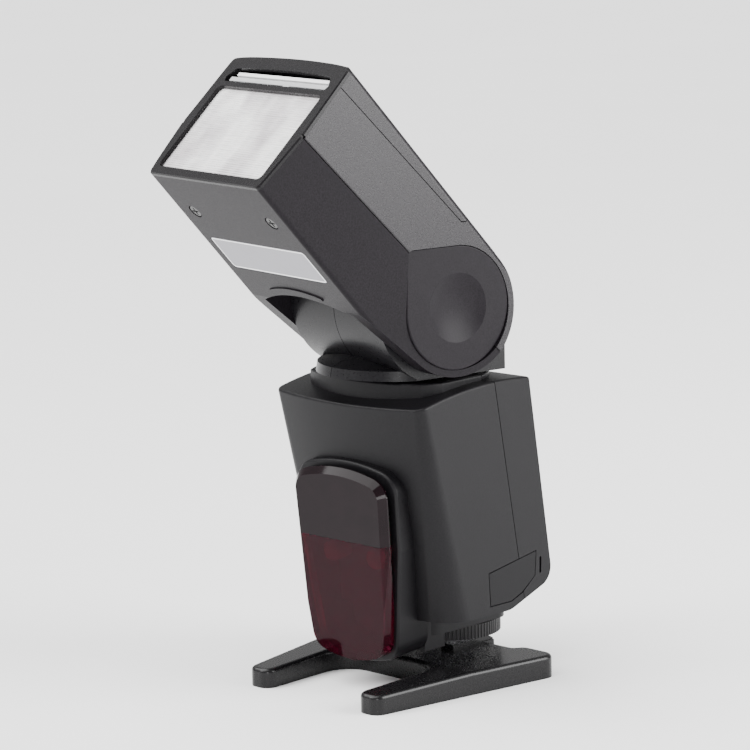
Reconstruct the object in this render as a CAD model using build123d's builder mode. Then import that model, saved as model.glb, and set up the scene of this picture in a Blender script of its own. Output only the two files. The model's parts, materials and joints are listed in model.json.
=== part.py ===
from build123d import *
from math import cos, radians, sin
import os

os.makedirs("parts", exist_ok=True)

# ---------------------------------------------------------------- dimensions (mm)
# The origin is on the table, on the axis of the stand's tripod thread. -Y is the front.
STAND_TIP_Y = -73.0
STAND_WEB_Y = -30.5
STAND_REAR_Y = 11.0
STAND_HEIGHT = 8.6
SHOE_FLOOR_Z = 6.8
FOOT_Z0 = 6.9
FOOT_THICK = 2.0
FOOT_WIDTH = 18.6
SLIDE_TRAVEL = 20.0

THREAD_R = 2.6
THREAD_DEPTH = 4.8

RING_R = 20.0
RING_Z0 = 12.9
RING_Z1 = 18.2
SHANK_R = 9.0

BODY_WALL = 2.2
SEAM = 0.3
BODY_HALF_TOP = 37.7
BODY_HALF_LOW = 35.8
BODY_Z_TOP = 120.0
BODY_Z_LOW = 20.0
SEAM_LEAN = 0.195
REAR_LEAN = 0.170
PLATFORM_Z = 115.4
PLATFORM_R = 33.4

SWIVEL_Y = -24.0
YAW = -10.14
TILT = 45.0
TILT_Z = 142.6
FLANGE_R = 30.5
FLANGE_Z0 = 116.2
FLANGE_Z1 = 119.8
BARREL_R = 22.0
FAIRING_R = 28.4
NECK_HALF = 27.9
SPIGOT_R = 14.0
FIT = 0.1
GAP = 0.35

HEAD_FRONT = 94.0
HEAD_HALF_LOW = 35.5
HEAD_HALF_SEAM = 38.5
HEAD_HALF_TOP = 36.9
CHEEK_R = 25.2
CHEEK_IN = 28.3
HEAD_WALL = 2.0
SHAFT_R = 6.0
COVER_R = 22.5
ZOOM_TRAVEL = 25.0
PANEL_TRAVEL = 36.0
LOW_SLOPE = 0.068
RIB_R = 58.0

# ---------------------------------------------------------------- frames
yaw = radians(YAW)
tilt = radians(TILT)
ACROSS = Vector(cos(yaw), sin(yaw), 0)
AHEAD = Vector(sin(yaw), -cos(yaw), 0)
UP = Vector(0, 0, 1)
ALONG = AHEAD * cos(tilt) + UP * sin(tilt)
RISE = UP * cos(tilt) - AHEAD * sin(tilt)
PIVOT = Vector(0, SWIVEL_Y, TILT_Z)


def low_v(u):
    return -23.6 - LOW_SLOPE * (HEAD_FRONT - u)


def head_side(x=0.0):
    """Plane across the head: local x runs forward, local y rises, the normal is to the left."""
    return Plane(origin=PIVOT + ACROSS * x, x_dir=ALONG, z_dir=ACROSS * -1)


def head_section(u):
    """Cross-section of the head at u ahead of the tilt axis: local x across, local y up."""
    return Plane(origin=PIVOT + ALONG * u, x_dir=ACROSS, z_dir=ALONG)


def head_plan(v):
    """Plan of the head at height v: local x across, local y towards the rear."""
    return Plane(origin=PIVOT + RISE * v, x_dir=ACROSS, z_dir=RISE)


def underside(u, off=0.0):
    """Plane on the head's sloping underside, normal outwards, local x across, local y forward."""
    normal = (RISE * -1 + ALONG * LOW_SLOPE).normalized()
    return Plane(origin=PIVOT + ALONG * u + RISE * low_v(u) + normal * off, x_dir=ACROSS, z_dir=normal)


def neck_plan(z):
    """Plan of the neck at height z: local x across, local y towards the rear."""
    return Plane(origin=(0, SWIVEL_Y, z), x_dir=ACROSS, z_dir=UP)


def neck_side(x=0.0):
    """Side of the neck: local x towards the rear, local y up from the table."""
    return Plane(origin=Vector(0, SWIVEL_Y, 0) + ACROSS * x, x_dir=AHEAD * -1, z_dir=ACROSS)


def body_side(x=0.0):
    """Side of the body: local x is Y, local y is Z."""
    return Plane(origin=(x, 0, 0), x_dir=(0, 1, 0), z_dir=(1, 0, 0))


def rear_y(z):
    return 5.93 + REAR_LEAN * (112.2 - z)


lean_len = (1 + REAR_LEAN**2) ** 0.5
REAR_N = Vector(0, 1 / lean_len, REAR_LEAN / lean_len)


def rear_face(z, off=0.0):
    """Plane on the rear face at height z, normal outwards, local y up the face."""
    return Plane(origin=Vector(0, rear_y(z), z) + REAR_N * off, x_dir=(-1, 0, 0), z_dir=REAR_N)


WIN_N = Vector(0, -0.9966, -0.082)
WIN_Z = 79.0


def window_face(off=0.0):
    """Plane of the window face, normal outwards, local y up the face from the reference height."""
    return Plane(origin=Vector(0, -58.4, WIN_Z) + WIN_N * off, x_dir=(1, 0, 0), z_dir=WIN_N)


def save(piece, name):
    piece.part.label = name
    export_step(piece.part, f"parts/{name}.step")


def screw(head_plane, head_r, head_h, shank_r, length):
    """Pan screw: the head stands out along the plane's normal, the shank runs the other way."""
    with BuildPart() as piece:
        with BuildSketch(head_plane):
            Circle(head_r)
        extrude(amount=head_h)
        with BuildSketch(head_plane.offset(head_h)):
            Rectangle(head_r * 1.5, head_r * 0.3)
            Rectangle(head_r * 0.3, head_r * 1.5)
        extrude(amount=-0.5 * head_h, mode=Mode.SUBTRACT)
        with BuildSketch(head_plane):
            Circle(shank_r)
        extrude(amount=-length)
    return piece.part


# ================================================================ STAND
def stand_outline():
    """Plan of the stand, made as one half and mirrored."""
    with BuildSketch() as plan:
        with BuildLine():
            Polyline((0, STAND_WEB_Y), (24.5, STAND_WEB_Y), (22.8, STAND_TIP_Y), (33.2, STAND_TIP_Y),
                     (46.5, 10.5), (30.0, 10.5), (27.0, 6.5), (13.5, 6.5), (13.5, STAND_REAR_Y),
                     (0, STAND_REAR_Y), (0, STAND_WEB_Y))
        make_face()
        corners = plan.vertices()
        fillet(corners.group_by(Axis.Y)[0], 4.2)
        fillet(plan.vertices().sort_by_distance((46.5, 10.5))[0], 5.0)
        fillet(plan.vertices().sort_by_distance((30.0, 10.5))[0], 4.0)
        fillet(plan.vertices().sort_by_distance((27.0, 6.5))[0], 2.0)
        fillet(plan.vertices().sort_by_distance((24.5, STAND_WEB_Y))[0], 11.0)
        mirror(about=Plane.YZ)
    return plan.sketch


with BuildPart() as stand_base:
    with BuildSketch(Plane.XY):
        add(stand_outline())
    extrude(amount=STAND_HEIGHT)
    # legs fall away slightly towards their tips
    with BuildSketch(body_side()):
        Polygon((-80, 7.0), (-30, STAND_HEIGHT), (20, STAND_HEIGHT), (20, -1), (-80, -1), align=None)
    extrude(amount=60, both=True, mode=Mode.INTERSECT)
    top_edges = stand_base.faces().sort_by(Axis.Z)[-2:].edges()
    outer = [e for e in top_edges if abs(e.center().X) > 16 or e.center().Y < -25]
    fillet(outer, 1.6)
    # accessory shoe: two rails over a flat floor, open to the rear
    with BuildSketch(Plane.XY.offset(STAND_HEIGHT - 1.0)):
        Rectangle(25.8, 2 * STAND_REAR_Y)
    extrude(amount=10.4 - STAND_HEIGHT + 1.0)
    with BuildSketch(body_side()):
        Polygon((6.5, 11.5), (12.0, 11.5), (12.0, 8.6), align=None)
    extrude(amount=20, both=True, mode=Mode.SUBTRACT)
    with BuildSketch(Plane.XY.offset(SHOE_FLOOR_Z)):
        with Locations((0, 1.3)):
            Rectangle(18.8, 21.4)
    extrude(amount=2.2, mode=Mode.SUBTRACT)
    with BuildSketch(Plane.XY.offset(SHOE_FLOOR_Z)):
        Rectangle(13.2, 40)
    extrude(amount=6, mode=Mode.SUBTRACT)
    # groove for the foot's locking pin
    with BuildSketch(Plane.XY.offset(SHOE_FLOOR_Z - 1.4)):
        with Locations((0, 1.4)):
            Rectangle(3.6, 20.4)
    extrude(amount=1.5, mode=Mode.SUBTRACT)
    # seat of the threaded insert
    with BuildSketch(Plane.XY):
        Circle(4.6)
    extrude(amount=5.0, mode=Mode.SUBTRACT)
save(stand_base, "stand_base")

with BuildPart() as thread_insert:
    with BuildSketch(Plane.XY):
        Circle(4.6)
        Circle(THREAD_R, mode=Mode.SUBTRACT)
    extrude(amount=THREAD_DEPTH)
    with BuildSketch(Plane.XY.offset(THREAD_DEPTH)):
        Circle(4.6)
    extrude(amount=0.2)
save(thread_insert, "tripod_thread_insert")


# ================================================================ BODY SHELLS
def body_section(z, inset):
    """Plan outline of the body at height z, drawn in by inset."""
    t = (z - BODY_Z_LOW) / (BODY_Z_TOP - BODY_Z_LOW)
    half = BODY_HALF_LOW + (BODY_HALF_TOP - BODY_HALF_LOW) * t - inset
    front = -51.4 + SEAM_LEAN * (108.2 - z) + inset
    rear = rear_y(z) - inset
    bulge = 4.2
    corner = max(12.0 - 9.0 * t - inset * 0.5, 1.2)
    with BuildSketch() as outline:
        with BuildLine():
            ThreePointArc((-half, front), (0, front - bulge), (half, front))
            Polyline((half, front), (half, rear), (-half, rear), (-half, front))
        make_face()
        front_pts = outline.vertices().group_by(Axis.Y)[0]
        rear_pts = outline.vertices().group_by(Axis.Y)[-1]
        fillet(front_pts, corner)
        fillet(rear_pts, max(3.5 - inset * 0.8, 1.0))
    return outline.sketch


def body_profile(inset):
    """Side outline of the body, drawn in by inset."""
    i = inset
    with BuildSketch() as profile:
        with BuildLine():
            ThreePointArc((-60, 106.0 - i), (-18, 113.3 - i), (30, 108.8 - i))
            Polyline((30, 108.8 - i), (rear_y(108.8) - i, 108.8 - i), (rear_y(34.6) - i, 34.6 + i),
                     (-3.9, 26.3 + i), (-60, 26.8 + i), (-60, 106.0 - i))
        make_face()
        fillet(profile.vertices().sort_by_distance((rear_y(34.6) - i, 34.6 + i))[0], 7.0)
        fillet(profile.vertices().sort_by_distance((-3.9, 26.3 + i))[0], 12.0)
    return profile.sketch


def body_block(inset):
    with BuildPart() as block:
        with BuildSketch(Plane.XY.offset(BODY_Z_TOP)):
            add(body_section(BODY_Z_TOP, inset))
        with BuildSketch(Plane.XY.offset(BODY_Z_LOW)):
            add(body_section(BODY_Z_LOW, inset))
        loft(ruled=True)
        with BuildSketch(body_side()):
            add(body_profile(inset))
        extrude(amount=50, both=True, mode=Mode.INTERSECT)
    return block.part


with BuildPart() as outer_block:
    add(body_block(0.0))
    fillet(outer_block.faces().filter_by(GeomType.CYLINDER).sort_by(Axis.Z)[-1].edges(), 1.0)
OUTER = outer_block.part
INNER = body_block(BODY_WALL)


def window_outline(grow):
    """Outline of the sensor window on its own plane; the lower end is narrower and rounded."""
    g = grow
    low = 12.0 - WIN_Z - g
    with BuildSketch() as outline:
        with BuildLine():
            ThreePointArc((-23.6 - g, 0.5 + g), (0, 4.7 + g), (23.6 + g, 0.5 + g))
            Polyline((23.6 + g, 0.5 + g), (22.8 + g, 54.0 - WIN_Z), (17.6 + g, low + 3.0))
            ThreePointArc((17.6 + g, low + 3.0), (0, low - 0.6), (-17.6 - g, low + 3.0))
            Polyline((-17.6 - g, low + 3.0), (-22.8 - g, 54.0 - WIN_Z), (-23.6 - g, 0.5 + g))
        make_face()
        corners = outline.vertices().sort_by(Axis.Y)
        fillet(corners[-2:], 8.0 + g * 0.5)
        fillet(outline.vertices().sort_by(Axis.Y)[:2], 7.0 + g * 0.5)
    return outline.sketch


BODY_SCREWS = ((-15.0, -9.0), (15.0, -9.0))


def body_screw_holes():
    with BuildPart() as holes:
        with BuildSketch(Plane.XY.offset(15)):
            with Locations(*BODY_SCREWS):
                Circle(0.9)
        extrude(amount=14.4)
    return holes.part


SEAM_TOP = (-14.3, 120.0)
SEAM_LOW = (5.2, 20.0)


def split_block(front, gap=0.0):
    """Everything ahead of (or behind) the parting plane of the two body shells."""
    edge = -80 if front else 60
    shift = -gap if front else gap
    with BuildPart() as half:
        with BuildSketch(body_side()):
            Polygon((SEAM_TOP[0] + shift, SEAM_TOP[1]), (SEAM_LOW[0] + shift, SEAM_LOW[1]),
                    (edge, 0), (edge, 140), align=None)
        extrude(amount=60, both=True)
    return half.part


def door_prism(grow, deep):
    """Block through the left wall where the battery door lies."""
    g = grow
    with BuildPart() as prism:
        with BuildSketch(body_side(-45.0)):
            with BuildLine():
                Polyline((-25.0 - g, 66.5 + g), (-18.2 - g, 31.5 - g), (12.2 + g, 37.0 - g),
                         (7.2 + g, 66.5 + g), (-25.0 - g, 66.5 + g))
            make_face()
        extrude(amount=45.0 - deep)
    return prism.part


def socket_prism(grow, deep):
    """Block through the right wall where the socket cover lies."""
    g = grow
    with BuildPart() as prism:
        with BuildSketch(body_side(deep)):
            with BuildLine():
                Polyline((-16.1 - g, 42.4 + g), (-15.2 - g, 29.4 - g), (-3.5, 29.4 - g), (2.5 + g, 31.6 - g),
                         (9.6 + g, 37.0), (10.2 + g, 46.6 + g), (-16.1 - g, 42.4 + g))
            make_face()
        extrude(amount=45.0 - deep)
    return prism.part


WINDOW_DEEP = 5.4
LCD_Z = 95.0
# rear keys: name, x on the rear face, height, width, tall
KEYS = (
    ("mode_key", -15.0, 74.0, 9.0, 4.4),
    ("zoom_key", 0.0, 74.0, 9.0, 4.4),
    ("light_key", 15.0, 74.0, 9.0, 4.4),
    ("arrow_up_key", 6.0, 64.5, 7.0, 4.4),
    ("arrow_down_key", 6.0, 46.5, 7.0, 4.4),
    ("arrow_left_key", -4.2, 55.5, 4.4, 7.0),
    ("arrow_right_key", 16.2, 55.5, 4.4, 7.0),
    ("set_key", 6.0, 55.5, 7.4, 7.4),
    ("power_key", -20.0, 48.5, 8.0, 8.0),
    ("pilot_key", -20.0, 61.0, 7.0, 7.0),
)


def key_cutters(grow, out, deep):
    """Prisms of all rear keys, from out to deep below the rear face."""
    with BuildPart() as cutters:
        for name, x, z, wide, tall in KEYS:
            with BuildSketch(rear_face(z, out)):
                with Locations((x, 0)):
                    RectangleRounded(wide + 2 * grow, tall + 2 * grow, min(wide, tall) * 0.32)
            extrude(amount=-(out + deep))
    return cutters.part


with BuildPart() as platform:
    # raised platform under the turning neck, flatter at the front
    with BuildSketch(Plane.XY.offset(104.0)):
        with Locations((0, SWIVEL_Y)):
            Circle(PLATFORM_R)
        with Locations((0, 11.6)):
            Circle(60.4, mode=Mode.INTERSECT)
        with Locations((0, 4.4 - 100)):
            Rectangle(63.5, 200, mode=Mode.INTERSECT)
    extrude(amount=PLATFORM_Z - 104.0)
    fillet(platform.faces().sort_by(Axis.Z)[-1].edges(), 0.8)
PLATFORM = platform.part


with BuildPart() as body_front_shell:
    add(OUTER)
    add(PLATFORM)
    add(INNER, mode=Mode.SUBTRACT)
    # solid ring under the platform carries the swivel bore
    with BuildSketch(Plane.XY.offset(108.6)):
        with Locations((0, SWIVEL_Y)):
            Circle(24.0)
    extrude(amount=3.5)
    # pedestal of the sensor window, reaching below the body
    with BuildSketch(window_face(-WINDOW_DEEP)):
        add(window_outline(1.9))
    extrude(amount=-16.0)
    fillet(body_front_shell.faces().filter_by(GeomType.PLANE).sort_by(Axis.Y)[0].edges(), 1.0)
    with BuildSketch(window_face(-WINDOW_DEEP + 1.0)):
        add(window_outline(-2.0))
    extrude(amount=-15.6, mode=Mode.SUBTRACT)
    with BuildSketch(Plane.XY.offset(100)):
        with Locations((0, SWIVEL_Y)):
            Circle(SPIGOT_R + FIT)
    extrude(amount=20, mode=Mode.SUBTRACT)
    add(split_block(True), mode=Mode.INTERSECT)
    add(body_screw_holes(), mode=Mode.SUBTRACT)
    add(door_prism(0.0, 30.0), mode=Mode.SUBTRACT)
    add(socket_prism(0.0, 30.0), mode=Mode.SUBTRACT)
save(body_front_shell, "body_front_shell")

with BuildPart() as body_rear_shell:
    add(OUTER)
    add(PLATFORM)
    add(INNER, mode=Mode.SUBTRACT)
    with BuildSketch(Plane.XY.offset(108.6)):
        with Locations((0, SWIVEL_Y)):
            Circle(24.0)
    extrude(amount=3.5)
    with BuildSketch(Plane.XY.offset(100)):
        with Locations((0, SWIVEL_Y)):
            Circle(SPIGOT_R + FIT)
    extrude(amount=20, mode=Mode.SUBTRACT)
    add(split_block(False, SEAM), mode=Mode.INTERSECT)
    add(body_screw_holes(), mode=Mode.SUBTRACT)
    # display opening with a step for the window
    with BuildSketch(rear_face(LCD_Z, 1.0)):
        RectangleRounded(50.0, 27.0, 2.5)
    extrude(amount=-2.4, mode=Mode.SUBTRACT)
    with BuildSketch(rear_face(LCD_Z, 1.0)):
        RectangleRounded(44.0, 21.0, 1.5)
    extrude(amount=-6, mode=Mode.SUBTRACT)
    add(key_cutters(GAP, 2.0, 5.0), mode=Mode.SUBTRACT)
    add(door_prism(0.0, 30.0), mode=Mode.SUBTRACT)
    add(socket_prism(0.0, 30.0), mode=Mode.SUBTRACT)
    # fingernail notch beside the socket cover
    with BuildSketch(body_side(35.0)):
        with Locations((12.4, 40.6)):
            SlotOverall(6.4, 1.0, rotation=90)
    extrude(amount=6, mode=Mode.SUBTRACT)
save(body_rear_shell, "body_rear_shell")

with BuildPart() as battery_door:
    add(OUTER)
    add(INNER, mode=Mode.SUBTRACT)
    add(door_prism(-GAP, 30.0), mode=Mode.INTERSECT)
save(battery_door, "battery_door")

with BuildPart() as socket_cover:
    add(OUTER)
    add(INNER, mode=Mode.SUBTRACT)
    add(socket_prism(-GAP, 30.0), mode=Mode.INTERSECT)
save(socket_cover, "socket_cover")


# ---------------------------------------------------------------- window covers
def window_cover():
    """The whole front cover as a thin cup, before it is parted."""
    with BuildPart() as cover:
        with BuildSketch(window_face(-WINDOW_DEEP)):
            add(window_outline(0.0))
        extrude(amount=WINDOW_DEEP)
        face = cover.faces().sort_by(Axis.Y)[0]
        chamfer(face.edges(), 2.4)
        with BuildSketch(window_face(-WINDOW_DEEP)):
            add(window_outline(-1.9))
        extrude(amount=WINDOW_DEEP - 2.0, mode=Mode.SUBTRACT)
    return cover.part


COVER = window_cover()
SPLIT_Y = 56.6 - WIN_Z

with BuildPart() as sensor_window:
    add(COVER)
    with BuildSketch(window_face(5)):
        with Locations((0, SPLIT_Y + 25.1)):
            Rectangle(80, 50)
    extrude(amount=-20, mode=Mode.INTERSECT)
save(sensor_window, "sensor_window")

with BuildPart() as assist_window:
    add(COVER)
    with BuildSketch(window_face(5)):
        with Locations((0, SPLIT_Y - 30)):
            Rectangle(80, 60)
    extrude(amount=-20, mode=Mode.INTERSECT)
save(assist_window, "assist_window")

with BuildPart() as assist_board:
    with BuildSketch(window_face(-13.5)):
        with Locations((0, -33)):
            Rectangle(30, 36)
    extrude(amount=-1.4)
save(assist_board, "assist_board")

with BuildPart() as assist_lamps:
    for side in (-1, 1):
        with BuildSketch(window_face(-13.5)):
            with Locations((side * 11.0, 49.5 - WIN_Z)):
                Circle(4.0)
        extrude(amount=8.0)
    lamp_fronts = assist_lamps.faces().filter_by(GeomType.PLANE).sort_by(Axis.Y)[:2]
    fillet(lamp_fronts.edges(), 1.6)
save(assist_lamps, "assist_lamps")

# ---------------------------------------------------------------- rear controls
with BuildPart() as lcd_window:
    with BuildSketch(rear_face(LCD_Z, -1.35)):
        RectangleRounded(49.6, 26.6, 2.3)
    extrude(amount=1.25)
save(lcd_window, "display_window")

with BuildPart() as lcd_module:
    with BuildSketch(rear_face(LCD_Z, -2.6)):
        Rectangle(42, 20)
    extrude(amount=-1.9)
save(lcd_module, "display_module")

for name, x, z, wide, tall in KEYS:
    with BuildPart() as key:
        with BuildSketch(rear_face(z, -2.9)):
            with Locations((x, 0)):
                RectangleRounded(wide, tall, min(wide, tall) * 0.3)
        extrude(amount=3.9)
        fillet(key.faces().sort_by(Axis.Y)[-1].edges(), 0.5)
        with BuildSketch(rear_face(z, -2.6)):
            with Locations((x, 0)):
                RectangleRounded(wide + 1.1, tall + 1.1, min(wide, tall) * 0.3)
        extrude(amount=-0.7)
    save(key, name)

with BuildPart() as main_board:
    with BuildSketch(rear_face(72.0, -4.6)):
        with Locations((0, 3.0)):
            Rectangle(62, 66)
    extrude(amount=-1.6)
save(main_board, "main_board")

# ---------------------------------------------------------------- power parts
CELL_R = 7.2
CELL_LEN = 49.5
CELL_X0 = -32.5
CELLS = ((-15.4, 57.8), (-0.6, 57.8), (-13.0, 42.6), (1.8, 42.6))

with BuildPart() as batteries:
    for y, z in CELLS:
        with BuildSketch(body_side(CELL_X0)):
            with Locations((y, z)):
                Circle(CELL_R)
        extrude(amount=CELL_LEN)
        with BuildSketch(body_side(CELL_X0 - 1.0)):
            with Locations((y, z)):
                Circle(2.7)
        extrude(amount=1.0)
save(batteries, "batteries")

with BuildPart() as battery_box:
    with BuildSketch(body_side(CELL_X0 + 0.5)):
        with BuildLine():
            Polyline((-24.2, 66.4), (-21.0, 34.8), (10.0, 34.8), (6.9, 66.4), (-24.2, 66.4))
        make_face()
    extrude(amount=CELL_LEN + 3.5)
    for y, z in CELLS:
        with BuildSketch(body_side(CELL_X0)):
            with Locations((y, z)):
                Circle(CELL_R + 0.15)
        extrude(amount=CELL_LEN + 1.0, mode=Mode.SUBTRACT)
save(battery_box, "battery_box")

with BuildPart() as battery_contacts:
    for y, z in CELLS:
        with BuildSketch(body_side(CELL_X0 + CELL_LEN)):
            with Locations((y, z)):
                Circle(4.5)
        extrude(amount=0.9)
save(battery_contacts, "battery_contacts")

with BuildPart() as main_capacitor:
    with BuildSketch(body_side(-30.0)):
        with Locations((-20.5, 84.0)):
            Circle(13.5)
    extrude(amount=58.0)
    fillet(main_capacitor.edges(), 1.2)
save(main_capacitor, "main_capacitor")

with BuildPart() as sync_socket:
    with BuildSketch(body_side(22.0)):
        with Locations((-10.5, 35.6)):
            Circle(4.2)
            Circle(2.4, mode=Mode.SUBTRACT)
    extrude(amount=11.0)
    with BuildSketch(body_side(22.0)):
        with Locations((-10.5, 35.6)):
            Circle(4.2)
    extrude(amount=1.5)
save(sync_socket, "sync_socket")

with BuildPart() as power_socket:
    with BuildSketch(body_side(22.0)):
        with Locations((1.0, 38.0)):
            RectangleRounded(11.0, 7.0, 1.5)
            RectangleRounded(8.0, 4.4, 1.0, mode=Mode.SUBTRACT)
    extrude(amount=11.0)
    with BuildSketch(body_side(22.0)):
        with Locations((1.0, 38.0)):
            RectangleRounded(11.0, 7.0, 1.5)
    extrude(amount=1.5)
save(power_socket, "power_socket")

# ================================================================ FOOT AND LOCK
with BuildPart() as foot_block:
    # chin behind the window and collar above the ring
    with BuildSketch(Plane.XY.offset(13.2)):
        with Locations((0, -26.7)):
            Rectangle(37.0, 10.6)
    extrude(amount=15.0)
    with BuildSketch(Plane.XY.offset(18.6)):
        with Locations((0, -8.75)):
            RectangleRounded(40.0, 46.5, 8.0)
    extrude(amount=9.6)
    with BuildSketch(body_side()):
        Polygon((-60, 0), (-60, 28.0), (-3.9, 28.0), (30, 35), (30, 0), align=None)
    extrude(amount=40, both=True, mode=Mode.INTERSECT)
    with BuildSketch(Plane.XY):
        Circle(RING_R + 0.6)
    extrude(amount=18.6, mode=Mode.SUBTRACT)
    with BuildSketch(Plane.XY.offset(10)):
        Circle(SHANK_R + 0.02)
    extrude(amount=12.4, mode=Mode.SUBTRACT)
    add(OUTER, mode=Mode.SUBTRACT)
    add(body_front_shell.part, mode=Mode.SUBTRACT)
    add(body_screw_holes(), mode=Mode.SUBTRACT)
save(foot_block, "foot_block")

CONTACTS = ((-4.4, 1.6), (4.4, 1.6), (-4.4, -2.4), (4.4, -2.4))
PIN_Y = -6.3
SCREWS_FOOT = ((-4.0, 6.2), (4.0, 6.2), (-4.2, -6.4), (4.2, -6.4))

with BuildPart() as shoe_foot:
    with BuildSketch(Plane.XY.offset(FOOT_Z0)):
        Rectangle(FOOT_WIDTH, 18.0)
    extrude(amount=FOOT_THICK)
    chamfer(shoe_foot.edges().filter_by(Axis.Z), 0.8)
    with BuildSketch(Plane.XY.offset(FOOT_Z0 + FOOT_THICK)):
        Rectangle(12.4, 15.6)
    extrude(amount=12.5 - FOOT_Z0 - FOOT_THICK)
    with BuildSketch(Plane.XY.offset(12.5)):
        Circle(SHANK_R)
    extrude(amount=9.7)
    with BuildSketch(Plane.XY):
        with Locations(*CONTACTS):
            Circle(1.1)
        Circle(1.75)
        with Locations((0, PIN_Y)):
            Circle(1.3)
    extrude(amount=16.0, mode=Mode.SUBTRACT)
    with BuildSketch(Plane.XY):
        with Locations(*SCREWS_FOOT):
            Circle(1.55)
    extrude(amount=8.1, mode=Mode.SUBTRACT)
    with BuildSketch(Plane.XY):
        with Locations(*SCREWS_FOOT):
            Circle(0.85)
    extrude(amount=30, mode=Mode.SUBTRACT)
save(shoe_foot, "shoe_foot")

with BuildPart() as foot_screws:
    for x, y in SCREWS_FOOT:
        add(screw(Plane(origin=(x, y, 8.1), x_dir=(1, 0, 0), z_dir=(0, 0, -1)), 1.5, 1.1, 0.85, 13.0))
save(foot_screws, "foot_screws")

with BuildPart() as centre_contact:
    with BuildSketch(Plane.XY.offset(7.0)):
        Circle(1.6)
    extrude(amount=7.6)
    fillet(centre_contact.faces().sort_by(Axis.Z)[0].edges(), 0.6)
save(centre_contact, "centre_contact")

with BuildPart() as side_contacts:
    with BuildSketch(Plane.XY.offset(7.0)):
        with Locations(*CONTACTS):
            Circle(0.95)
    extrude(amount=7.6)
save(side_contacts, "side_contacts")

with BuildPart() as lock_pin:
    with BuildSketch(Plane.XY.offset(7.0)):
        with Locations((0, PIN_Y)):
            Circle(1.2)
    extrude(amount=7.6)
save(lock_pin, "lock_pin")

RIBS = 84
with BuildPart() as lock_ring:
    with BuildSketch(Plane.XY.offset(RING_Z0)):
        Circle(RING_R)
        with PolarLocations(RING_R + 0.1, RIBS):
            Circle(0.5, mode=Mode.SUBTRACT)
        Circle(SHANK_R + FIT, mode=Mode.SUBTRACT)
    extrude(amount=RING_Z1 - RING_Z0)
save(lock_ring, "lock_ring")

with BuildPart() as body_screws:
    for x, y in BODY_SCREWS:
        add(screw(Plane(origin=(x, y, 29.4), x_dir=(1, 0, 0), z_dir=(0, 0, 1)), 1.7, 0.9, 0.9, 8.0))
save(body_screws, "body_screws")


# ================================================================ NECK
def fairing(radius, top_angle, low_angle=-90.0):
    """Side sector about the tilt axis, drawn as forward and up, for the round front of the neck."""
    reach = 2 * radius
    corners = [(0, 0)]
    for angle in (low_angle, (low_angle + top_angle) / 2, top_angle):
        corners.append((reach * cos(radians(angle)), reach * sin(radians(angle))))
    with BuildSketch() as sector:
        Polygon(*corners, align=None)
        Circle(radius, mode=Mode.INTERSECT)
    return sector.sketch


def neck_front(x):
    """Plane across the neck at the tilt axis: local x runs forward, local y up."""
    return Plane(origin=PIVOT + ACROSS * x, x_dir=AHEAD, z_dir=ACROSS * -1)


def neck_solid(inset):
    i = inset
    with BuildPart() as solid:
        # base flange: a low rim and a shallow cone up to the round front
        with BuildSketch(neck_plan(FLANGE_Z0 + i)):
            Circle(FLANGE_R - i)
        with BuildSketch(neck_plan(FLANGE_Z1)):
            Circle(FLANGE_R - 0.6 - i)
        loft()
        with BuildSketch(neck_plan(FLANGE_Z1)):
            Circle(FLANGE_R - 0.6 - i)
        with BuildSketch(neck_plan(124.2)):
            Circle(17.5 - i)
        loft()
        # square block behind
        with BuildSketch(neck_plan(FLANGE_Z0 + i)):
            with Locations((0, 14.0 - i / 2)):
                Rectangle(2 * (NECK_HALF - i), 28.0 - i)
        extrude(amount=130.4 - FLANGE_Z0 - 2 * i)
        with BuildSketch(neck_side(-NECK_HALF + i)):
            with Locations((0, TILT_Z)):
                Circle(BARREL_R - i)
        extrude(amount=2 * (NECK_HALF - i))
        # round front that fills the mouth of the head
        with BuildSketch(neck_front(-NECK_HALF + i)):
            add(fairing(FAIRING_R - i, 50.0 - 2.2 * i))
        extrude(amount=-2 * (NECK_HALF - i))
        with BuildSketch(neck_plan(FLANGE_Z0 + i)):
            with Locations((0, -6)):
                Rectangle(2 * (NECK_HALF - i), 68 - 2 * i)
        extrude(amount=100, mode=Mode.INTERSECT)
    return solid.part


NECK_OUT = neck_solid(0.0)
NECK_IN = neck_solid(2.2)


def neck_half(side):
    with BuildPart() as half:
        add(NECK_OUT)
        # hollow spigot through the platform
        with BuildSketch(neck_plan(107.4)):
            Circle(SPIGOT_R)
        extrude(amount=11.0)
        add(NECK_IN, mode=Mode.SUBTRACT)
        with BuildSketch(neck_plan(100)):
            Circle(10.0)
        extrude(amount=30.0, mode=Mode.SUBTRACT)
        with BuildSketch(neck_side(-40)):
            with Locations((0, TILT_Z)):
                Circle(SHAFT_R)
        extrude(amount=80, mode=Mode.SUBTRACT)
        with BuildSketch(neck_plan(100)):
            with Locations((side * (50.0 + SEAM / 2), 0)):
                Rectangle(100, 100)
        extrude(amount=80, mode=Mode.INTERSECT)
    return half


neck_left = neck_half(-1)
save(neck_left, "neck_left_half")
neck_right = neck_half(1)
save(neck_right, "neck_right_half")

with BuildPart() as tilt_shaft:
    with BuildSketch(neck_side(-33.5)):
        with Locations((0, TILT_Z)):
            Circle(SHAFT_R)
            Circle(4.0, mode=Mode.SUBTRACT)
    extrude(amount=67.0)
save(tilt_shaft, "tilt_shaft")

with BuildPart() as swivel_retainer:
    with BuildSketch(neck_plan(105.4)):
        Circle(18.0)
        Circle(10.0, mode=Mode.SUBTRACT)
    extrude(amount=2.0)
save(swivel_retainer, "swivel_retainer")


# ================================================================ HEAD
def top_v(u):
    return 31.4 - 0.0613 * (HEAD_FRONT - u)


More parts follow.
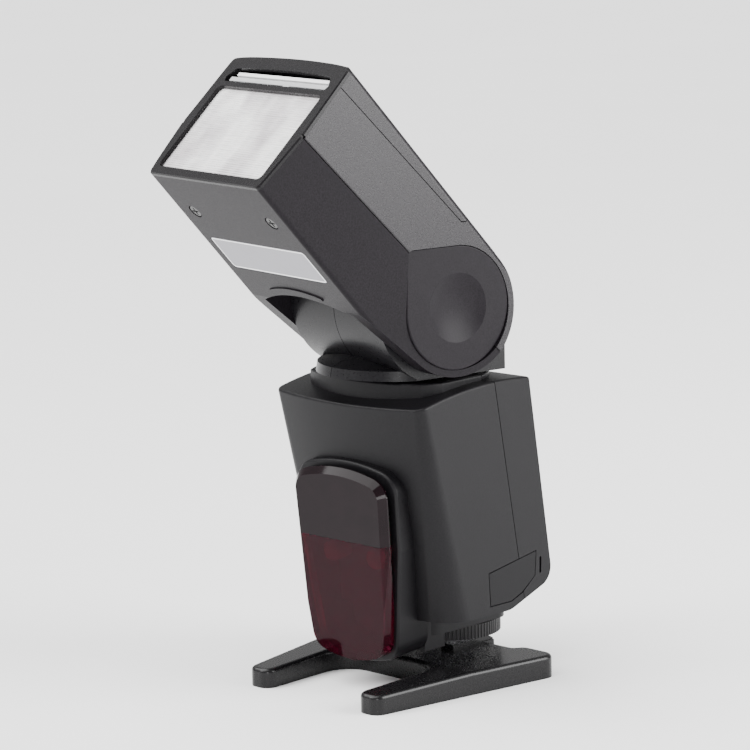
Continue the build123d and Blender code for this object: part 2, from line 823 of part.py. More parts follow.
def head_outline(u, inset):
    """Cross-section of the head: a ridge at the seam, an arched top and rounded corners."""
    i = inset
    low = low_v(u) + i
    top = top_v(u) - i
    with BuildSketch() as outline:
        with BuildLine():
            Polyline((-HEAD_HALF_TOP + i, top), (-HEAD_HALF_SEAM + i, 0.6), (-HEAD_HALF_LOW + i, low),
                     (HEAD_HALF_LOW - i, low), (HEAD_HALF_SEAM - i, 0.6), (HEAD_HALF_TOP - i, top))
            ThreePointArc((HEAD_HALF_TOP - i, top), (0, top + 1.8), (-HEAD_HALF_TOP + i, top))
        make_face()
        fillet(outline.vertices().group_by(Axis.Y)[-1], 2.4)
        fillet(outline.vertices().group_by(Axis.Y)[0], 1.8)
    return outline.sketch


def cheek_outline(grow=0.0):
    """Side outline of the head behind the box: the round cheeks about the tilt axis."""
    g = grow
    with BuildSketch() as outline:
        Circle(CHEEK_R + g)
        Polygon((120, 60), (120, -60), (30, -60), (30, low_v(30) - g), (-2.4, -25.08 - g),
                (0, 0), (0, 60), align=None)
    return outline.sketch


def head_block(u0, u1, inset):
    with BuildPart() as block:
        with BuildSketch(head_section(u0)):
            add(head_outline(u0, inset))
        with BuildSketch(head_section(u1)):
            add(head_outline(u1, inset))
        loft(ruled=True)
    return block.part


BEZEL_U = 92.4
HEAD_BOX = head_block(-30.0, BEZEL_U, 0.0)
CAVITY = head_block(-30.0, 95.0, HEAD_WALL)

with BuildPart() as head_body:
    add(HEAD_BOX)
    with BuildSketch(head_side()):
        add(cheek_outline())
    extrude(amount=60, both=True, mode=Mode.INTERSECT)
HEAD_SOLID = head_body.part

with BuildPart() as head_hollow:
    add(CAVITY)
    with BuildSketch(head_side()):
        Polygon((100, 60), (100, -60), (36.0, -60), (36.0, -15.0), (31.0, -6.0), (31.0, 60), align=None)
    extrude(amount=60, both=True, mode=Mode.INTERSECT)
HEAD_HOLLOW = head_hollow.part

with BuildPart() as neck_room:
    # room for the barrel and for the sweep of the neck through the whole tilt
    with BuildSketch(head_side()):
        Circle(BARREL_R + 0.4)
        add(fairing(FAIRING_R + 0.4, 52.0))
        Polygon((0, 0), (20, -9.5), (28.0, -14), (28.0, -60), (-70, -60), (-70, 60), (-25.2, 60), align=None)
    extrude(amount=CHEEK_IN, both=True)
    # arched mouth in the underside
    with BuildSketch(head_plan(-60)):
        with Locations((0, 34.0)):
            Circle(68.0)
        with Locations((0, 0)):
            Rectangle(2 * CHEEK_IN, 70, mode=Mode.INTERSECT)
    extrude(amount=43.0)
    # bore of the tilt shaft
    with BuildSketch(head_side()):
        Circle(SHAFT_R + FIT)
    extrude(amount=34.0, both=True)
NECK_ROOM = neck_room.part

COVER_IN = 34.2
COVER_OUT = 37.2
TEAR_U = 31.6


def teardrop(grow):
    """Round cheek cover drawn out to a point on the seam."""
    r = COVER_R + grow
    tip = TEAR_U + grow * 1.4
    reach = (tip**2 - r**2) ** 0.5
    tu = r * r / tip
    tv = r * reach / tip
    with BuildSketch() as shape:
        Circle(r)
        Polygon((tip, 0.4), (tu, tv), (0, 0), (tu, -tv), align=None)
        fillet(shape.vertices().sort_by(Axis.X)[-1], 2.0)
    return shape.sketch


def head_shell(upper):
    sign = 1 if upper else -1
    with BuildPart() as shell:
        add(HEAD_SOLID)
        add(HEAD_HOLLOW, mode=Mode.SUBTRACT)
        add(NECK_ROOM, mode=Mode.SUBTRACT)
        # seats of the cheek covers
        for side in (-1, 1):
            with BuildSketch(head_side(side * COVER_IN)):
                add(teardrop(0.12))
            extrude(amount=-side * 6, mode=Mode.SUBTRACT)
        with BuildSketch(head_side()):
            with Locations((30, sign * (50.0 + SEAM / 2))):
                Rectangle(200, 100)
        extrude(amount=60, both=True, mode=Mode.INTERSECT)
        if upper:
            # the top cover is a part of its own
            with BuildSketch(head_side()):
                Polygon((100, 23.2), (20.0, 23.2), (18.4, 24.6), (18.4, 60), (100, 60), align=None)
            extrude(amount=60, both=True, mode=Mode.SUBTRACT)
    return shell


head_upper_shell = head_shell(True)
save(head_upper_shell, "head_upper_shell")

head_lower = head_shell(False)
with BuildPart() as head_lower_shell:
    add(head_lower.part)
    # screw wells, label recess and the finger rib on the underside
    with BuildSketch(underside(75, 2.0)):
        with Locations((-24.7, 0), (24.7, 0)):
            Circle(2.9)
    extrude(amount=-2.9, mode=Mode.SUBTRACT)
    with BuildSketch(underside(75, 2.0)):
        with Locations((-24.7, 0), (24.7, 0)):
            Circle(0.9)
    extrude(amount=-8, mode=Mode.SUBTRACT)
    with BuildSketch(underside(53.2, 2.0)):
        RectangleRounded(60.4, 16.1, 1.8)
    extrude(amount=-2.35, mode=Mode.SUBTRACT)
    with BuildSketch(underside(36.0, -0.4)):
        with Locations((0, 1.5 - RIB_R)):
            Circle(RIB_R + 0.6)
            Circle(RIB_R - 0.6, mode=Mode.SUBTRACT)
        Rectangle(33.0, 12.0, mode=Mode.INTERSECT)
    extrude(amount=0.9)
save(head_lower_shell, "head_lower_shell")

with BuildPart() as head_screws:
    well = underside(75, -0.9)
    for x in (-24.7, 24.7):
        spot = Plane(origin=well.origin + ACROSS * x, x_dir=well.x_dir, z_dir=well.z_dir)
        add(screw(spot, 2.5, 0.7, 0.9, 4.0))
save(head_screws, "head_screws")

with BuildPart() as head_top_cover:
    add(HEAD_SOLID)
    add(HEAD_HOLLOW, mode=Mode.SUBTRACT)
    with BuildSketch(head_side()):
        Polygon((100, 23.5), (20.2, 23.5), (18.7, 24.8), (18.7, 60), (100, 60), align=None)
    extrude(amount=60, both=True, mode=Mode.INTERSECT)
save(head_top_cover, "head_top_cover")


def cheek_cover(side):
    with BuildPart() as cover:
        with BuildSketch(head_side(side * COVER_IN)):
            add(teardrop(0.0))
        extrude(amount=-side * (COVER_OUT - COVER_IN))
        outer_face = cover.faces().sort_by_distance(PIVOT + ACROSS * side * 60)[0]
        fillet(outer_face.edges(), 0.5)
        # shallow dished centre
        with Locations(Location(PIVOT + ACROSS * side * (COVER_OUT + 38.6))):
            Sphere(40.6, mode=Mode.SUBTRACT)
    return cover


cover_left = cheek_cover(-1)
save(cover_left, "left_cheek_cover")
cover_right = cheek_cover(1)
save(cover_right, "right_cheek_cover")

LENS_HALF = 33.5
LENS_LOW = -20.6
LENS_TOP = 18.5


def lens_opening(grow):
    g = grow
    with BuildSketch() as opening:
        with Locations((0, (LENS_LOW + LENS_TOP) / 2)):
            RectangleRounded(2 * (LENS_HALF + g), LENS_TOP - LENS_LOW + 2 * g, 3.0 + g)
    return opening.sketch


def panel_slot():
    """Mouth of the panels: flat below, arched above, with slanted ends."""
    with BuildSketch() as slot:
        with BuildLine():
            Polyline((-29.8, 26.3), (-32.6, 22.4), (-31.6, 20.3), (31.6, 20.3), (32.6, 22.4), (29.8, 26.3))
            ThreePointArc((29.8, 26.3), (0, 27.4), (-29.8, 26.3))
        make_face()
        fillet(slot.vertices(), 0.6)
    return slot.sketch


with BuildPart() as head_bezel:
    add(head_block(BEZEL_U + 0.05, HEAD_FRONT, 0.0))
    front_face = head_bezel.faces().sort_by_distance(PIVOT + ALONG * 200)[0]
    chamfer(front_face.outer_wire().edges(), 0.5)
    with BuildSketch(head_section(80)):
        add(lens_opening(-0.5))
    extrude(amount=30, mode=Mode.SUBTRACT)
    with BuildSketch(head_section(80)):
        add(panel_slot())
    extrude(amount=30, mode=Mode.SUBTRACT)
    # notches over the seam of the head shells
    with BuildSketch(head_section(80)):
        with Locations((-HEAD_HALF_SEAM, 0.4), (HEAD_HALF_SEAM, 0.4)):
            Rectangle(1.6, 1.2)
    extrude(amount=30, mode=Mode.SUBTRACT)
save(head_bezel, "head_bezel")

with BuildPart() as fresnel_lens:
    with BuildSketch(head_section(90.6)):
        add(lens_opening(0.0))
    extrude(amount=1.75)
save(fresnel_lens, "fresnel_lens")

with BuildPart() as rating_label:
    with BuildSketch(underside(53.2, -0.35)):
        RectangleRounded(60.0, 15.7, 1.6)
    extrude(amount=0.3)
save(rating_label, "rating_label")


# ---------------------------------------------------------------- inside the head
ROD_X = 30.0
ROD_V = -18.5
ROD_R = 1.25
SCREW_V = -20.0

with BuildPart() as head_frame:
    with BuildSketch(head_section(36.5)):
        with Locations((0, -1.0)):
            Rectangle(66.0, 42.0)
        with Locations((-ROD_X, ROD_V), (ROD_X, ROD_V)):
            Circle(ROD_R, mode=Mode.SUBTRACT)
        with Locations((0, 6.0)):
            Rectangle(30, 14, mode=Mode.SUBTRACT)
    extrude(amount=1.5)
save(head_frame, "head_frame")

with BuildPart() as zoom_motor:
    with BuildSketch(head_section(38.05)):
        with Locations((0, SCREW_V)):
            Circle(4.0)
    extrude(amount=10.6)
save(zoom_motor, "zoom_motor")

with BuildPart() as guide_rods:
    with BuildSketch(head_section(36.5)):
        with Locations((-ROD_X, ROD_V), (ROD_X, ROD_V)):
            Circle(ROD_R)
    extrude(amount=53.0)
save(guide_rods, "zoom_guide_rods")

with BuildPart() as zoom_lead_screw:
    with BuildSketch(head_section(49.0)):
        with Locations((0, SCREW_V)):
            Circle(1.5)
    extrude(amount=39.5)
save(zoom_lead_screw, "zoom_lead_screw")

with BuildPart() as reflector:
    with BuildSketch(head_section(40.0)):
        Rectangle(46.0, 9.0)
    with BuildSketch(head_section(60.0)):
        Rectangle(52.4, 27.0)
    loft()
    with BuildSketch(head_section(41.0)):
        Rectangle(44.4, 7.4)
    with BuildSketch(head_section(60.0)):
        Rectangle(50.8, 25.4)
    loft(mode=Mode.SUBTRACT)
    with BuildSketch(head_side()):
        with Locations((43.4, 0)):
            Circle(1.85)
    extrude(amount=40, both=True, mode=Mode.SUBTRACT)
save(reflector, "reflector")

with BuildPart() as flash_tube:
    with BuildSketch(head_side()):
        with Locations((43.4, 0)):
            Circle(1.75)
    extrude(amount=28.4, both=True)
save(flash_tube, "flash_tube")

with BuildPart() as zoom_carriage:
    # two cheeks and a floor hold the reflector
    with BuildSketch(head_section(40.0)):
        with Locations((-27.2, 0), (27.2, 0)):
            Rectangle(1.4, 30.0)
        with Locations((0, -14.4)):
            Rectangle(55.8, 1.2)
    extrude(amount=20.0)
    # eyes on the guide rods
    with BuildSketch(head_section(44.0)):
        with Locations((-ROD_X, -16.9), (ROD_X, -16.9)):
            Rectangle(5.0, 7.6)
    extrude(amount=12.0)
    # nut on the lead screw
    with BuildSketch(head_section(51.0)):
        with Locations((0, -18.2)):
            Rectangle(9.0, 8.0)
    extrude(amount=5.0)
    with BuildSketch(head_section(30.0)):
        with Locations((-ROD_X, ROD_V), (ROD_X, ROD_V)):
            Circle(ROD_R + 0.05)
        with Locations((0, SCREW_V)):
            Circle(1.58)
    extrude(amount=50.0, mode=Mode.SUBTRACT)
    with BuildSketch(head_side()):
        with Locations((43.4, 0)):
            Circle(1.8)
    extrude(amount=40, both=True, mode=Mode.SUBTRACT)
save(zoom_carriage, "zoom_carriage")

with BuildPart() as panel_cassette:
    with BuildSketch(head_section(46.0)):
        with Locations((0, 19.8)):
            Rectangle(65.0, 1.0)
        with Locations((-32.0, 22.4), (32.0, 22.4)):
            Rectangle(1.0, 6.2)
    extrude(amount=44.4)
save(panel_cassette, "panel_cassette")

with BuildPart() as wide_panel:
    with BuildSketch(head_section(52.0)):
        with Locations((0, 22.3)):
            Rectangle(61.6, 1.8)
    extrude(amount=41.0)
    # finger tab under the front edge
    with BuildSketch(head_section(91.6)):
        with Locations((6.5, 21.05)):
            Rectangle(4.0, 0.8)
    extrude(amount=1.6)
save(wide_panel, "wide_panel")

with BuildPart() as catchlight_card:
    with BuildSketch(head_section(54.0)):
        with Locations((0, 25.0)):
            Rectangle(58.0, 1.4)
    extrude(amount=38.6)
save(catchlight_card, "catchlight_card")
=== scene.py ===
import json
import math

import bmesh
import bpy
from mathutils import Matrix, Vector


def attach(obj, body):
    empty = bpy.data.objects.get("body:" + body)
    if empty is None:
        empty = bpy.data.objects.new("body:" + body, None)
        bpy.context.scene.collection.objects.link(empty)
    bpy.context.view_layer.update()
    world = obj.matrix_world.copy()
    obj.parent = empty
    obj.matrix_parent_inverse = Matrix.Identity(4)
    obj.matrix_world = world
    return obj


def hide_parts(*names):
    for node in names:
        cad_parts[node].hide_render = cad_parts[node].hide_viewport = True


# A speedlight flash on its desk stand. The frame holds the CAD parts. This script gives each of them its
# material, makes the ribbed lens and the label's printed rim, and sets up the camera, floor and light.

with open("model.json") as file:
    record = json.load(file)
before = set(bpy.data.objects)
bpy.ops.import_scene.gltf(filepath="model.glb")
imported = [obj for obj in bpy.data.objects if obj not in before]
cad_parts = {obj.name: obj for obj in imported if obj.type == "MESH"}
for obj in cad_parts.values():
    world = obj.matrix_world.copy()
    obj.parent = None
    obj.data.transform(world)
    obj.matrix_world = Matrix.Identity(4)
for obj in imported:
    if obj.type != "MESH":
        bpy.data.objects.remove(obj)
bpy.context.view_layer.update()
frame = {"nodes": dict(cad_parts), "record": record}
NODES = frame["nodes"]

# ---------------------------------------------------------------- camera
CAMERA_PLACE = Vector((0.80941, -0.85598, 0.31391))
CAMERA_RIGHT = Vector((0.71390, 0.69992, -0.02124)).normalized()
CAMERA_UP = Vector((-0.10412, 0.13611, 0.98521))
SENSOR_WIDTH = 36.0
FOCAL_LENGTH = 153.44


def add_camera():
    right = CAMERA_RIGHT
    up = (CAMERA_UP - right * CAMERA_UP.dot(right)).normalized()
    back = right.cross(up)
    data = bpy.data.cameras.new("camera")
    data.sensor_width = SENSOR_WIDTH
    data.lens = FOCAL_LENGTH
    camera = bpy.data.objects.new("camera", data)
    camera.matrix_world = Matrix(((right.x, up.x, back.x, CAMERA_PLACE.x),
                                  (right.y, up.y, back.y, CAMERA_PLACE.y),
                                  (right.z, up.z, back.z, CAMERA_PLACE.z),
                                  (0, 0, 0, 1)))
    bpy.context.scene.collection.objects.link(camera)
    bpy.context.scene.camera = camera


add_camera()

# ---------------------------------------------------------------- frame of the head
YAW = math.radians(-10.14)                      # how far the head is swivelled
PIVOT = Vector((0, -0.024, 0.1426))             # middle of the tilt shaft, in metres
ACROSS = Vector((math.cos(YAW), math.sin(YAW), 0))
AHEAD = Vector((math.sin(YAW), -math.cos(YAW), 0))
ALONG = (AHEAD + Vector((0, 0, 1))).normalized()
RISE = (Vector((0, 0, 1)) - AHEAD).normalized()


def head_point(x, u, v):
    """A point given across, ahead and above the tilt axis, in millimetres."""
    return PIVOT + (ACROSS * x + ALONG * u + RISE * v) / 1000


UNDERSIDE_SLOPE = 0.068                         # the head's underside drops towards its front
UNDERSIDE_END_U = 94.0
UNDERSIDE_END_V = -23.6
LABEL_U = 53.2
OUTWARD = (ALONG * UNDERSIDE_SLOPE - RISE).normalized()


def label_point(x, y, off):
    """A point on the head's sloping underside, measured from the middle of the label, in millimetres."""
    middle = head_point(0, LABEL_U, UNDERSIDE_END_V - UNDERSIDE_SLOPE * (UNDERSIDE_END_U - LABEL_U))
    return middle + (ACROSS * x + OUTWARD.cross(ACROSS) * y + OUTWARD * off) / 1000


# ---------------------------------------------------------------- material nodes
def new_material(name):
    material = bpy.data.materials.new(name)
    material.use_nodes = True
    tree = material.node_tree
    tree.nodes.clear()
    output = tree.nodes.new("ShaderNodeOutputMaterial")
    shader = tree.nodes.new("ShaderNodeBsdfPrincipled")
    tree.links.new(shader.outputs["BSDF"], output.inputs["Surface"])
    return material, tree, shader


def noise(tree, scale, detail=3.0, rough=0.55):
    """Noise fixed to the object, with features about 1/scale metres across."""
    coord = tree.nodes.new("ShaderNodeTexCoord")
    node = tree.nodes.new("ShaderNodeTexNoise")
    node.inputs["Scale"].default_value = scale
    node.inputs["Detail"].default_value = detail
    node.inputs["Roughness"].default_value = rough
    tree.links.new(coord.outputs["Object"], node.inputs["Vector"])
    return node.outputs["Fac"]


def stretched_noise(tree, stretch, turn=0.0, detail=2.0):
    """Noise laid out on the piece's UV map."""
    uv = tree.nodes.new("ShaderNodeUVMap")
    place = tree.nodes.new("ShaderNodeMapping")
    place.inputs["Scale"].default_value = (*stretch, 1.0)
    place.inputs["Rotation"].default_value = (0, 0, turn)
    tree.links.new(uv.outputs["UV"], place.inputs["Vector"])
    node = tree.nodes.new("ShaderNodeTexNoise")
    node.inputs["Scale"].default_value = 1.0
    node.inputs["Detail"].default_value = detail
    tree.links.new(place.outputs["Vector"], node.inputs["Vector"])
    return node.outputs["Fac"]


def ramp(tree, fac, low, high, start=0.3, end=0.7):
    node = tree.nodes.new("ShaderNodeValToRGB")
    node.color_ramp.elements[0].position = start
    node.color_ramp.elements[0].color = (*low, 1)
    node.color_ramp.elements[1].position = end
    node.color_ramp.elements[1].color = (*high, 1)
    tree.links.new(fac, node.inputs["Fac"])
    return node.outputs["Color"]


def spread(tree, fac, low, high, start=0.3, end=0.7):
    node = tree.nodes.new("ShaderNodeMapRange")
    node.inputs["From Min"].default_value = start
    node.inputs["From Max"].default_value = end
    node.inputs["To Min"].default_value = low
    node.inputs["To Max"].default_value = high
    tree.links.new(fac, node.inputs["Value"])
    return node.outputs["Result"]


def multiply(tree, first, second):
    node = tree.nodes.new("ShaderNodeMix")
    node.data_type = "RGBA"
    node.blend_type = "MULTIPLY"
    node.inputs["Factor"].default_value = 1.0
    tree.links.new(first, node.inputs["A"])
    tree.links.new(second, node.inputs["B"])
    return node.outputs["Result"]


def bump(tree, shader, fac, strength, distance):
    node = tree.nodes.new("ShaderNodeBump")
    node.inputs["Strength"].default_value = strength
    node.inputs["Distance"].default_value = distance
    tree.links.new(fac, node.inputs["Height"])
    tree.links.new(node.outputs["Normal"], shader.inputs["Normal"])


# ---------------------------------------------------------------- kinds of material
BROAD_SCALE = 60.0                              # slow change of shade across a moulding
GLOSSY_SCALE = 150.0
CLEAR_SCALE = 300.0


def grained(name, low, high, rough=(0.5, 0.62), grain=1800.0, depth=0.00006, strength=0.5, specular=0.5,
            metallic=0.0):
    """Moulded plastic with a spark-eroded grain: speckled colour, uneven gloss and fine bump."""
    material, tree, shader = new_material(name)
    fine = noise(tree, grain, 2.0, 0.6)
    broad = noise(tree, BROAD_SCALE, 2.0)
    shade = ramp(tree, broad, (0.94, 0.94, 0.94), (1.0, 1.0, 1.0))
    tree.links.new(multiply(tree, ramp(tree, fine, low, high), shade), shader.inputs["Base Color"])
    tree.links.new(spread(tree, fine, *rough), shader.inputs["Roughness"])
    shader.inputs["Specular IOR Level"].default_value = specular
    shader.inputs["Metallic"].default_value = metallic
    bump(tree, shader, fine, strength, depth)
    return material


def glossy(name, low, high, rough=(0.12, 0.2), coat=0.3, specular=0.5):
    """Smooth surface with a thin coat."""
    material, tree, shader = new_material(name)
    fine = noise(tree, GLOSSY_SCALE, 3.0)
    tree.links.new(ramp(tree, fine, low, high), shader.inputs["Base Color"])
    tree.links.new(spread(tree, fine, *rough), shader.inputs["Roughness"])
    shader.inputs["Specular IOR Level"].default_value = specular
    shader.inputs["Coat Weight"].default_value = coat
    shader.inputs["Coat Roughness"].default_value = 0.08
    bump(tree, shader, noise(tree, GLOSSY_SCALE * 4, 2.0), 0.08, 0.00005)
    return material


def clear(name, low, high, rough=(0.02, 0.08), transmission=1.0, ior=1.49, specular=0.5):
    """Transparent plastic or glass, tinted between two colours."""
    material, tree, shader = new_material(name)
    fine = noise(tree, CLEAR_SCALE, 2.0)
    tree.links.new(ramp(tree, fine, low, high), shader.inputs["Base Color"])
    tree.links.new(spread(tree, fine, *rough), shader.inputs["Roughness"])
    shader.inputs["Transmission Weight"].default_value = transmission
    shader.inputs["IOR"].default_value = ior
    shader.inputs["Specular IOR Level"].default_value = specular
    bump(tree, shader, fine, 0.05, 0.00005)
    return material


def moulded_lens(name):
    """Pale prismatic plastic crossed by finer streaks, with soft upright painted patches: painted reflections
    standing in for the reflector's light seen through the lens.
    """
    material, tree, shader = new_material(name)
    painted_reflection_noise = stretched_noise(tree, (3.2, 1.3), -0.35)
    streaks = stretched_noise(tree, (6.0, 70.0))
    # painted reflection: brighter and darker upright patches in the base colour stand in for the reflector's
    # light seen through the lens
    painted_reflection_tone = ramp(tree, painted_reflection_noise, (0.60, 0.56, 0.58), (1.0, 0.99, 0.98), 0.32, 0.58)
    streak_tone = ramp(tree, streaks, (0.86, 0.86, 0.87), (1.0, 1.0, 1.0), 0.35, 0.6)
    tree.links.new(multiply(tree, painted_reflection_tone, streak_tone), shader.inputs["Base Color"])
    tree.links.new(spread(tree, streaks, 0.10, 0.22), shader.inputs["Roughness"])
    shader.inputs["Transmission Weight"].default_value = 0.12
    shader.inputs["IOR"].default_value = 1.49
    return material


# ---------------------------------------------------------------- materials by slot
MATS = {
    "stand": grained("stand_satin", (0.0028, 0.0026, 0.0030), (0.0052, 0.0049, 0.0055),
                     rough=(0.25, 0.29), grain=1400, depth=0.00003, strength=0.08, specular=0.26),
    "thread_brass": glossy("insert_brass", (0.45, 0.33, 0.12), (0.6, 0.45, 0.18)),
    "body_plastic": grained("body_grain", (0.0030, 0.0027, 0.0034), (0.0066, 0.0060, 0.0072),
                            rough=(0.36, 0.48), grain=1700, strength=0.4, specular=0.16),
    "cover_rubber": grained("socket_rubber", (0.0030, 0.0027, 0.0033), (0.0060, 0.0055, 0.0066),
                            rough=(0.42, 0.54), grain=1500, strength=0.4, specular=0.15),
    "sensor_plastic": glossy("sensor_gloss", (0.0045, 0.0018, 0.0028), (0.0070, 0.0030, 0.0044),
                             rough=(0.07, 0.12), coat=0.0, specular=0.13),
    "red_window": clear("red_window", (0.115, 0.0055, 0.026), (0.150, 0.009, 0.034),
                        rough=(0.03, 0.06), transmission=0.92, ior=1.2, specular=0.14),
    "board": grained("solder_mask", (0.01, 0.10, 0.03), (0.02, 0.16, 0.05), rough=(0.3, 0.45), grain=800),
    "lamp_lens": clear("lamp_lens", (1.0, 0.60, 0.55), (1.0, 0.75, 0.7), rough=(0.05, 0.1), transmission=0.3),
    "display_window": clear("display_cover", (0.8, 0.82, 0.8), (0.9, 0.92, 0.9), rough=(0.02, 0.05)),
    "display": grained("display_cell", (0.10, 0.115, 0.09), (0.13, 0.145, 0.11),
                       rough=(0.25, 0.35), grain=4000, depth=0.00001),
    "cell": glossy("cell_sleeve", (0.03, 0.03, 0.035), (0.05, 0.05, 0.055)),
    "inner_plastic": grained("inner_moulding", (0.03, 0.03, 0.03), (0.045, 0.045, 0.045)),
    "contact_metal": glossy("plated_contact", (0.6, 0.5, 0.3), (0.7, 0.6, 0.38), rough=(0.2, 0.3)),
    "capacitor": glossy("capacitor_sleeve", (0.01, 0.01, 0.02), (0.02, 0.02, 0.03)),
    "foot_metal": grained("brushed_foot", (0.5, 0.5, 0.52), (0.62, 0.62, 0.64),
                          rough=(0.25, 0.4), grain=900, depth=0.00002, strength=0.2, metallic=1.0),
    "screw": grained("blackened_screw", (0.03, 0.03, 0.03), (0.06, 0.06, 0.06),
                     rough=(0.28, 0.42), grain=2500, depth=0.00003, strength=0.4, metallic=0.7),
    "ring_plastic": grained("ring_plastic", (0.0042, 0.0038, 0.0044), (0.0075, 0.0070, 0.0080),
                            rough=(0.28, 0.4), grain=1500, depth=0.00004, strength=0.3, specular=0.32),
    "neck_plastic": grained("neck_satin", (0.0042, 0.0039, 0.0048), (0.0080, 0.0074, 0.0088),
                            rough=(0.26, 0.36), grain=1300, depth=0.00003, strength=0.25, specular=0.20),
    "head_plastic": grained("head_grain", (0.0058, 0.0048, 0.0062), (0.0135, 0.0112, 0.0142),
                            rough=(0.24, 0.34), grain=1700, depth=0.00007, strength=0.4, specular=0.24),
    "bezel_plastic": grained("bezel_satin", (0.0042, 0.0037, 0.0044), (0.0075, 0.0067, 0.0078),
                             rough=(0.24, 0.30), grain=1500, depth=0.00003, strength=0.1, specular=0.18),
    # the lens material carries painted reflections of the reflector behind it
    "lens": moulded_lens("prismatic_lens"),
    "label": grained("label_film", (0.24, 0.235, 0.26), (0.29, 0.285, 0.31),
                     rough=(0.3, 0.4), grain=2500, depth=0.00001, strength=0.2, metallic=0.3),
    "reflector": glossy("reflector_bright", (0.85, 0.85, 0.86), (0.95, 0.95, 0.96)),
    "tube_glass": clear("tube_glass", (0.95, 0.95, 0.95), (1.0, 1.0, 1.0)),
    "clear_panel": clear("clear_panel", (0.90, 0.91, 0.92), (0.98, 0.99, 1.0),
                         rough=(0.08, 0.16), transmission=0.5),
    "card": grained("card_white", (0.90, 0.90, 0.90), (0.97, 0.97, 0.97),
                    rough=(0.3, 0.4), grain=1500, depth=0.00002),
    "key_rubber": grained("key_rubber", (0.020, 0.019, 0.022), (0.030, 0.029, 0.033),
                          rough=(0.45, 0.6), grain=1500, strength=0.4, specular=0.3),
}
SLOT_OF = {part["node"]: part["material_slot"] for part in frame["record"]["subparts"]}

# The lower shell and the cheek covers get copies of the head's grain with a duller gloss and a darker base
# colour; the darker colour is painted shade on these faces, which turn away from the light.
LOWER_SHELL_PAINTED_SHADE = grained("head_grain_lower_painted_shade", (0.0052, 0.0043, 0.0055), (0.0115, 0.0096, 0.0120),
                      rough=(0.36, 0.48), grain=1700, depth=0.00007, specular=0.10)
CHEEK_PAINTED_SHADE = grained("cheek_grain_painted_shade", (0.0050, 0.0040, 0.0053), (0.0110, 0.0088, 0.0116),
                      rough=(0.34, 0.44), grain=1700, strength=0.4, specular=0.11)
# painted shade: these parts take the darker copies above instead of the head's own colour
PAINTED_SHADE_COPIES = {
    "head_lower_shell": LOWER_SHELL_PAINTED_SHADE,
    "left_cheek_cover": CHEEK_PAINTED_SHADE,
    "right_cheek_cover": CHEEK_PAINTED_SHADE,
}


def paint(obj, material):
    obj.data.materials.clear()
    obj.data.materials.append(material)


for node, obj in NODES.items():
    paint(obj, PAINTED_SHADE_COPIES.get(node, MATS[SLOT_OF[node]]))


# ---------------------------------------------------------------- pieces made here
def new_piece(name, verts, faces, body, material, replaced=()):
    mesh = bpy.data.meshes.new(name)
    mesh.from_pydata([tuple(v) for v in verts], [], faces)
    mesh.validate()
    obj = bpy.data.objects.new(name, mesh)
    bpy.context.scene.collection.objects.link(obj)
    bm = bmesh.new()
    bm.from_mesh(mesh)
    bmesh.ops.recalc_face_normals(bm, faces=bm.faces)
    bm.to_mesh(mesh)
    bm.free()
    paint(obj, MATS[material])
    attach(obj, body)
    if replaced:
        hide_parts(*replaced)
    return obj


LENS_HALF = 33.5                                # half its width; all lens sizes are in millimetres
LENS_LOW = -20.6                                # its lower and upper edges, above the tilt axis
LENS_TOP = 18.5
LENS_CORNER = 3.0
LENS_BACK = 90.6                                # its back and front faces, ahead of the tilt axis
LENS_FRONT = 92.35
RIB_DEEP = 0.24
RIB_PITCH = 0.93
RIB_FLANK = 0.04                                # how far a rib's steep flank leans


def lens_half(v):
    """Half width of the lens at height v, with its rounded corners."""
    d = min(v - LENS_LOW, LENS_TOP - v)
    if d >= LENS_CORNER:
        return LENS_HALF
    return LENS_HALF - LENS_CORNER + math.sqrt(max(LENS_CORNER**2 - (LENS_CORNER - d)**2, 0.0))


def prismatic_lens():
    """The lens with saw-toothed ribs across its whole front face."""
    rows = []
    count = round((LENS_TOP - LENS_LOW) / RIB_PITCH)
    step = (LENS_TOP - LENS_LOW) / count
    for k in range(count):
        rows.append((LENS_LOW + k * step + RIB_FLANK, LENS_FRONT))
        rows.append((LENS_LOW + (k + 1) * step - RIB_FLANK, LENS_FRONT - RIB_DEEP))
    verts = []
    for v, u in rows:
        w = lens_half(v)
        verts += [head_point(-w, u, v), head_point(w, u, v)]
        verts += [head_point(-w, LENS_BACK, v), head_point(w, LENS_BACK, v)]
    faces = [(0, 1, 3, 2)]
    for k in range(len(rows) - 1):
        a = 4 * k
        b = a + 4
        faces += [(a, b, b + 1, a + 1), (a + 2, a + 3, b + 3, b + 2)]
        faces += [(a, a + 2, b + 2, b), (a + 1, b + 1, b + 3, a + 3)]
    last = 4 * (len(rows) - 1)
    faces.append((last, last + 2, last + 3, last + 1))
    lens = new_piece("prismatic_lens", verts, faces, "head", "lens", ("fresnel_lens",))
    layer = lens.data.uv_layers.new(name="UVMap")
    for loop in lens.data.loops:
        p = (lens.data.vertices[loop.vertex_index].co - PIVOT) * 1000
        layer.data[loop.index].uv = (p.dot(ACROSS) / (2 * LENS_HALF) + 0.5,
                                     (p.dot(RISE) - LENS_LOW) / (LENS_TOP - LENS_LOW))


prismatic_lens()

RIM_HALF_X = 29.75                              # outer edge of the printed line, in millimetres
RIM_HALF_Y = 7.6
RIM_WIDE = 0.5
RIM_OUTER_CORNER = 1.4
RIM_INNER_CORNER = 1.0
RIM_SUNK = -0.06                                # its underside lies within the label's film
RIM_FACE = -0.01
ARC_STEPS = 8


def round_rect(half_x, half_y, r, off):
    """Points round a rectangle with rounded corners, on the label."""
    points = []
    for cx, cy, start in ((1, 1, 0), (-1, 1, 90), (-1, -1, 180), (1, -1, 270)):
        for i in range(ARC_STEPS + 1):
            angle = math.radians(start + 90 * i / ARC_STEPS)
            points.append(label_point(cx * (half_x - r) + r * math.cos(angle),
                                      cy * (half_y - r) + r * math.sin(angle), off))
    return points


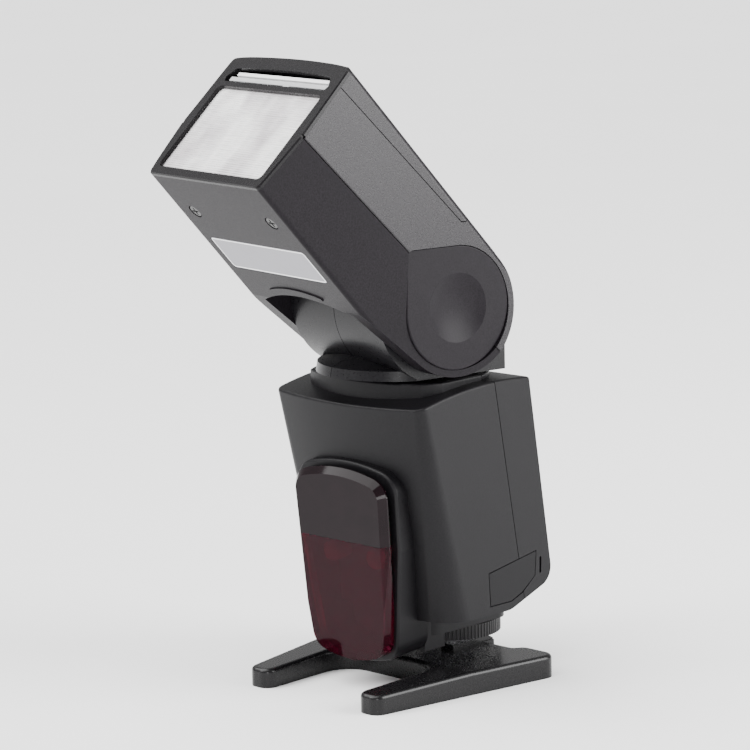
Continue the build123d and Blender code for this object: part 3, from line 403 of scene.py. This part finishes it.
def label_rim():
    """Pale printed line round the edge of the plain label."""
    outer = (RIM_HALF_X, RIM_HALF_Y, RIM_OUTER_CORNER)
    inner = (RIM_HALF_X - RIM_WIDE, RIM_HALF_Y - RIM_WIDE, RIM_INNER_CORNER)
    rings = [round_rect(*outer, RIM_SUNK), round_rect(*outer, RIM_FACE),
             round_rect(*inner, RIM_FACE), round_rect(*inner, RIM_SUNK)]
    n = len(rings[0])
    verts = [v for ring in rings for v in ring]
    faces = []
    for r in range(4):
        q = (r + 1) % 4
        for i in range(n):
            j = (i + 1) % n
            faces.append((r * n + i, r * n + j, q * n + j, q * n + i))
    new_piece("label_printed_rim", verts, faces, "head", "card")


label_rim()

# ---------------------------------------------------------------- floor and light
FLOOR_SIZE = 30.0
WORLD_STRENGTH = 0.7


def white_floor():
    bpy.ops.mesh.primitive_plane_add(size=FLOOR_SIZE, location=(0, 0, 0))
    floor = bpy.context.object
    floor.name = "floor"
    material, tree, shader = new_material("floor_white")
    shade = ramp(tree, noise(tree, 3.0), (0.86, 0.86, 0.86), (0.88, 0.88, 0.88))
    tree.links.new(shade, shader.inputs["Base Color"])
    shader.inputs["Roughness"].default_value = 0.7
    shader.inputs["Specular IOR Level"].default_value = 0.2
    paint(floor, material)


def white_world():
    world = bpy.data.worlds.new("studio")
    bpy.context.scene.world = world
    world.use_nodes = True
    background = world.node_tree.nodes["Background"]
    background.inputs["Color"].default_value = (1, 1, 1, 1)
    background.inputs["Strength"].default_value = WORLD_STRENGTH


def aimed(name, data, location, target):
    lamp = bpy.data.objects.new(name, data)
    lamp.location = location
    lamp.rotation_euler = (Vector(target) - Vector(location)).to_track_quat("-Z", "Y").to_euler()
    bpy.context.scene.collection.objects.link(lamp)


def overhead_sun(location, energy, spread_angle):
    data = bpy.data.lights.new("overhead", "SUN")
    data.energy = energy
    data.angle = math.radians(spread_angle)
    aimed("overhead", data, location, (0, 0, 0))


def softbox(name, location, target, size, power):
    data = bpy.data.lights.new(name, "AREA")
    data.shape = "RECTANGLE"
    data.size, data.size_y = size
    data.energy = power
    aimed(name, data, location, target)


white_floor()
white_world()
overhead_sun((-0.8, -1.0, 2.6), 6.5, 70)
softbox("key_front_left", (-0.7, -1.3, 0.85), (0, -0.05, 0.18), (0.5, 0.7), 10)
softbox("wall_right", (1.05, 0.52, 0.57), (0, -0.06, 0.19), (0.75, 0.95), 30)
softbox("behind_camera", (1.30, -1.42, 0.22), (0, -0.03, 0.10), (0.5, 0.4), 8)
